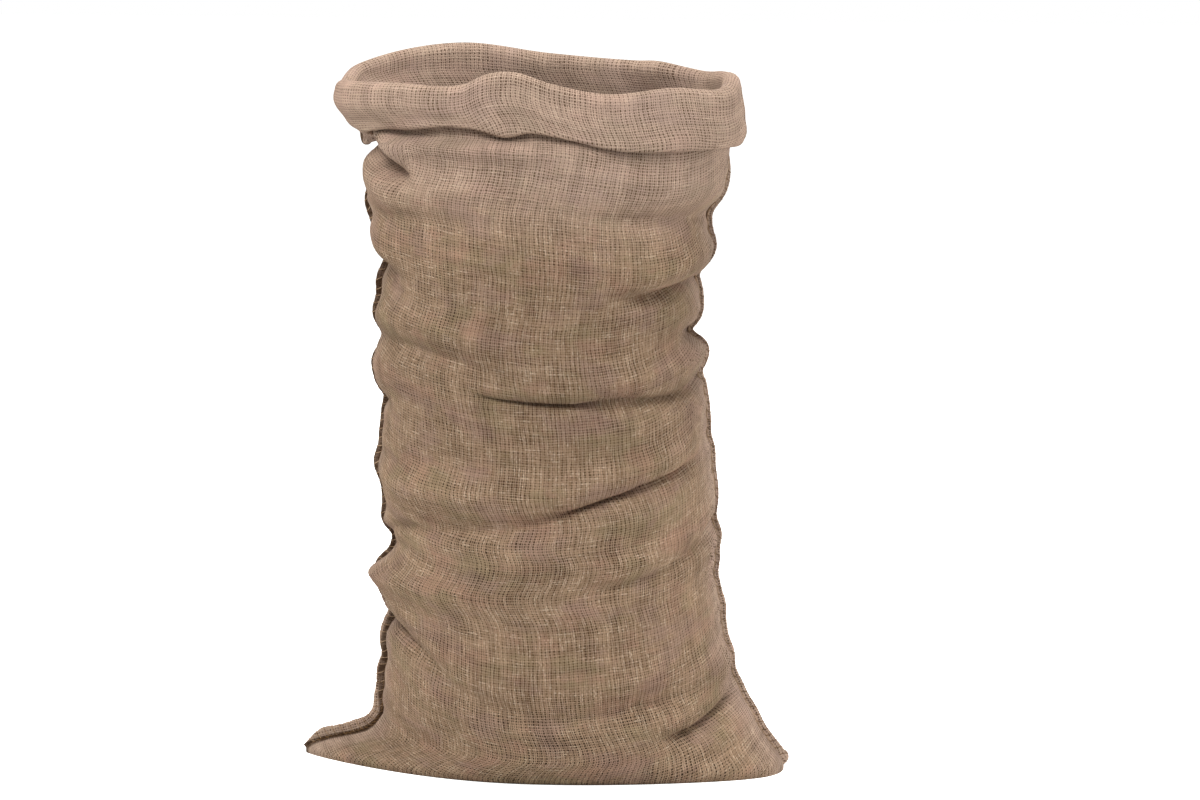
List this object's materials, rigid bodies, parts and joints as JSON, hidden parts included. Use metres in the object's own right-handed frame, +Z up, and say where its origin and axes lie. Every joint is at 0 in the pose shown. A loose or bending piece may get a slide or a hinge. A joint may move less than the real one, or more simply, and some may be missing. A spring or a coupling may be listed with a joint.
{
  "type": "hessian sack",
  "caption": "Open hessian sack standing upright, folded flat at the bottom and oversewn up both sides, its mouth rolled outwards into a soft cuff.",
  "frame": {"origin": "on the floor, under the middle of the bounding box", "axes": "+X along the bottom fold from the left ear to the right ear as seen from the front, +Y to the back, +Z up to the mouth"},
  "size_m": [0.5118, 0.3036, 0.733],
  "materials": {
    "jute_hessian": "coarse open plain weave, undyed",
    "seam_yarn": "thick oversewing yarn"
  },
  "bodies": {
    "root": {"sack_cloth": "jute_hessian", "left_seam": "seam_yarn", "right_seam": "seam_yarn"}
  },
  "joints": []
}
